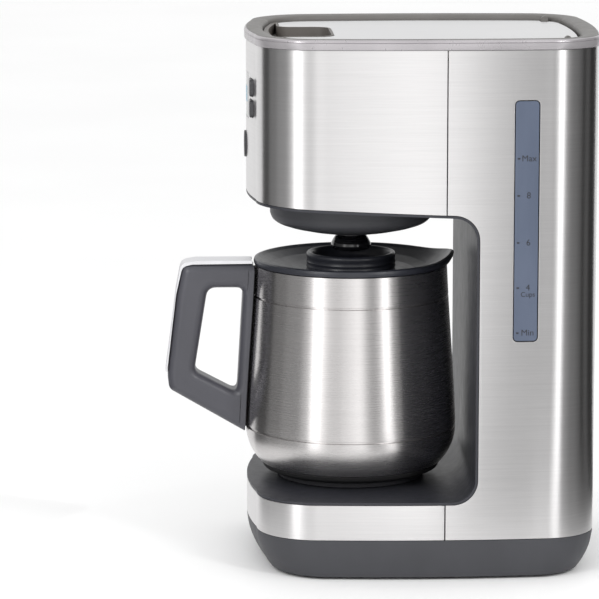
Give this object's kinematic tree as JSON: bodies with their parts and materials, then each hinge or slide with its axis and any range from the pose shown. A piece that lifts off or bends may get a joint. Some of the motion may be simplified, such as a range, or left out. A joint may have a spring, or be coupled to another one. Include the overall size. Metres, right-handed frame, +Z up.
{
  "type": "drip coffee maker",
  "caption": "Upright drip coffee maker with brushed steel skins, side water window, flip-up lid, brew basket and a thermal carafe with a loop handle.",
  "frame": {"origin": "under the middle of the whole footprint, on the surface it stands on", "axes": "+Z up, front with controls and carafe handle towards -Y, water window on the +X side"},
  "size_m": [0.1944, 0.2906, 0.36],
  "materials": {
    "brushed_steel": "horizontally brushed stainless steel with a satin gloss",
    "dark_plastic": "dark grey plastic with a fine moulded grain",
    "slate_plastic": "slate grey plastic, satin",
    "rim_plastic": "warm grey satin plastic",
    "black_gloss": "smooth black plastic",
    "black_rubber": "matt black rubber",
    "window_plastic": "translucent blue-grey window with dark graduations",
    "tank_plastic": "translucent smoke plastic",
    "circuit_board": "green solder mask",
    "alloy": "cast aluminium",
    "silicone": "milky silicone",
    "gold_mesh": "gold-toned fine mesh"
  },
  "bodies": {
    "housing": {"base_pan": "dark_plastic", "bottom_plate": "dark_plastic", "foot_front_left": "black_rubber", "foot_front_right": "black_rubber", "foot_rear_left": "black_rubber", "foot_rear_right": "black_rubber", "base_screw_front_left": "alloy", "base_screw_front_right": "alloy", "base_screw_rear_left": "alloy", "base_screw_rear_right": "alloy", "base_band": "brushed_steel", "rear_skin": "brushed_steel", "head_skin": "brushed_steel", "top_rim": "rim_plastic", "inner_liner": "slate_plastic", "carafe_rest": "black_rubber", "water_tank": "tank_plastic", "level_window": "window_plastic", "check_valve": "silicone", "feed_hose": "silicone", "heater": "alloy", "thermostat": "alloy", "thermal_fuse": "silicone", "riser_tube": "silicone", "brew_basket": "dark_plastic", "permanent_filter": "gold_mesh", "display_lens": "black_gloss", "display_module": "black_gloss", "control_board": "circuit_board", "power_inlet": "black_gloss", "hinge_pin_left": "brushed_steel", "hinge_pin_right": "brushed_steel", "valve_spring": "brushed_steel"},
    "top_lid": {"lid_frame": "slate_plastic", "lid_panel": "brushed_steel", "finger_grip": "rim_plastic", "shower_plate": "dark_plastic"},
    "carafe": {"carafe_shell": "brushed_steel", "carafe_liner": "brushed_steel", "carafe_foot": "black_rubber", "carafe_collar": "slate_plastic", "carafe_handle": "slate_plastic", "handle_inlay": "brushed_steel", "handle_strap": "slate_plastic"},
    "screw_lid": {"carafe_lid": "black_gloss", "lid_gasket": "silicone"},
    "valve": {"drip_valve": "black_gloss"},
    "start_key": {"start_button": "black_gloss"},
    "menu_key_1": {"menu_button_1": "black_gloss"},
    "menu_key_2": {"menu_button_2": "black_gloss"},
    "menu_key_3": {"menu_button_3": "black_gloss"},
    "menu_key_4": {"menu_button_4": "black_gloss"}
  },
  "joints": [
    {"name": "lid_hinge", "type": "hinge", "parent": "housing", "child": "top_lid", "pos_m": [0, 0.11915, 0.3575], "axis": [-1, 0, 0], "range_deg": [0, 100]},
    {"name": "carafe_slide", "type": "slide", "parent": "housing", "child": "carafe", "axis": [0, -1, 0], "range_m": [0, 0.25]},
    {"name": "carafe_lid_turn", "type": "hinge", "parent": "carafe", "child": "screw_lid", "pos_m": [0, -0.01885, 0.2], "axis": [0, 0, 1], "range_deg": [0, 90]},
    {"name": "drip_valve_lift", "type": "slide", "parent": "housing", "child": "valve", "axis": [0, 0, 1], "range_m": [0, 0.004], "stiffness_N_per_m": 200, "springref_m": -0.004, "deforming": ["valve_spring"]},
    {"name": "start_press", "type": "slide", "parent": "housing", "child": "start_key", "axis": [0, 1, 0], "range_m": [0, 0.0012], "stiffness_N_per_m": 300, "springref_m": -0.001},
    {"name": "menu_press_1", "type": "slide", "parent": "housing", "child": "menu_key_1", "axis": [0, 1, 0], "range_m": [0, 0.0012], "stiffness_N_per_m": 300, "springref_m": -0.001},
    {"name": "menu_press_2", "type": "slide", "parent": "housing", "child": "menu_key_2", "axis": [0, 1, 0], "range_m": [0, 0.0012], "stiffness_N_per_m": 300, "springref_m": -0.001},
    {"name": "menu_press_3", "type": "slide", "parent": "housing", "child": "menu_key_3", "axis": [0, 1, 0], "range_m": [0, 0.0012], "stiffness_N_per_m": 300, "springref_m": -0.001},
    {"name": "menu_press_4", "type": "slide", "parent": "housing", "child": "menu_key_4", "axis": [0, 1, 0], "range_m": [0, 0.0012], "stiffness_N_per_m": 300, "springref_m": -0.001}
  ]
}
